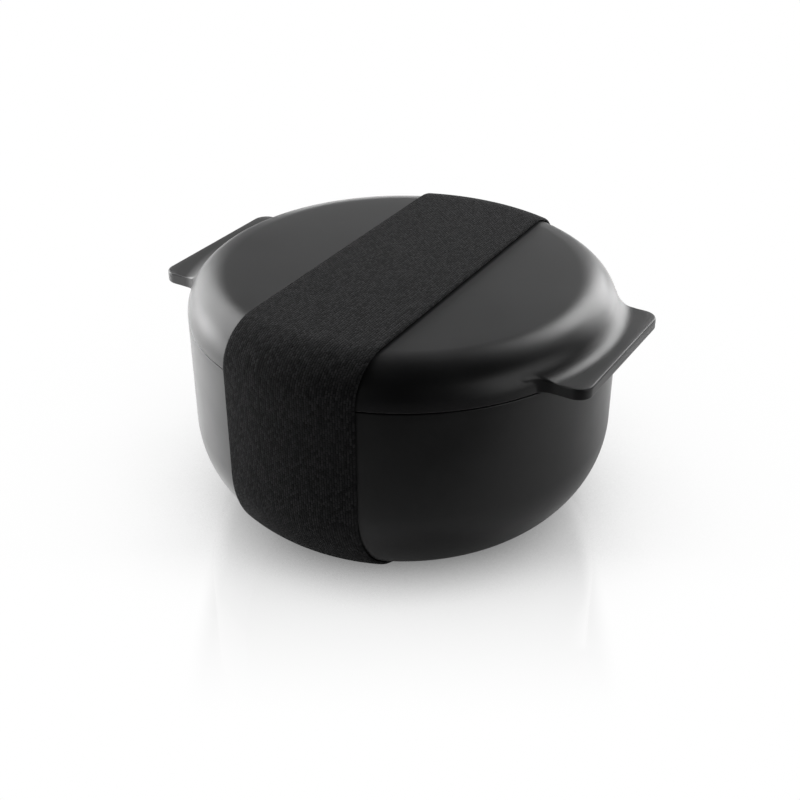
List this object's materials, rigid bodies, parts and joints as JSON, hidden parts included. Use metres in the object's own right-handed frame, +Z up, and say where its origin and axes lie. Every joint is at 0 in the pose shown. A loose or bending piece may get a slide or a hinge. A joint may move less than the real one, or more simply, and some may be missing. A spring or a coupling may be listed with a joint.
{
  "type": "insulated lunch bowl",
  "caption": "Round double-walled lunch bowl with a push-on lid that has tab grips, held shut by a wide elastic strap that loops over the lid and under the base.",
  "frame": {"origin": "on the floor, under the middle of the bowl", "axes": "+X towards one of the lid's grips, +Y along the strap's run over the lid, +Z up"},
  "size_m": [0.17, 0.1554, 0.0933],
  "materials": {
    "shell_plastic": "fine matte, black",
    "liner_plastic": "smooth satin, black",
    "foam": "moulded foam, hidden",
    "foot_rubber": "matte silicone, black",
    "seal_rubber": "satin silicone, dark grey",
    "strap_fabric": "knitted elastic webbing, black"
  },
  "bodies": {
    "bowl": {"outer_bowl": "shell_plastic", "inner_bowl": "liner_plastic", "bowl_insulation": "foam", "foot_left": "foot_rubber", "foot_right": "foot_rubber"},
    "lid": {"lid_shell": "shell_plastic", "lid_liner": "liner_plastic", "lid_insulation": "foam", "lid_seal": "seal_rubber"},
    "strap_seam": {"strap_patch": "strap_fabric"},
    "strap": {"strap_band": "strap_fabric"}
  },
  "joints": [
    {"name": "lid_lift", "type": "slide", "parent": "bowl", "child": "lid", "axis": [0, 0, 1], "range_m": [0, 0.06]},
    {"name": "strap_off", "type": "slide", "parent": "bowl", "child": "strap_seam", "axis": [1, 0, 0], "range_m": [0, 0.14], "deforming": ["strap_patch"]},
    {"name": "strap_stretch", "type": "slide", "parent": "strap_seam", "child": "strap", "axis": [0, 0, 1], "range_m": [0, 0.06], "deforming": ["strap_band"]}
  ],
  "couplings": [
    {"joint": "strap_stretch", "follows": "lid_lift", "ratio": 1}
  ]
}
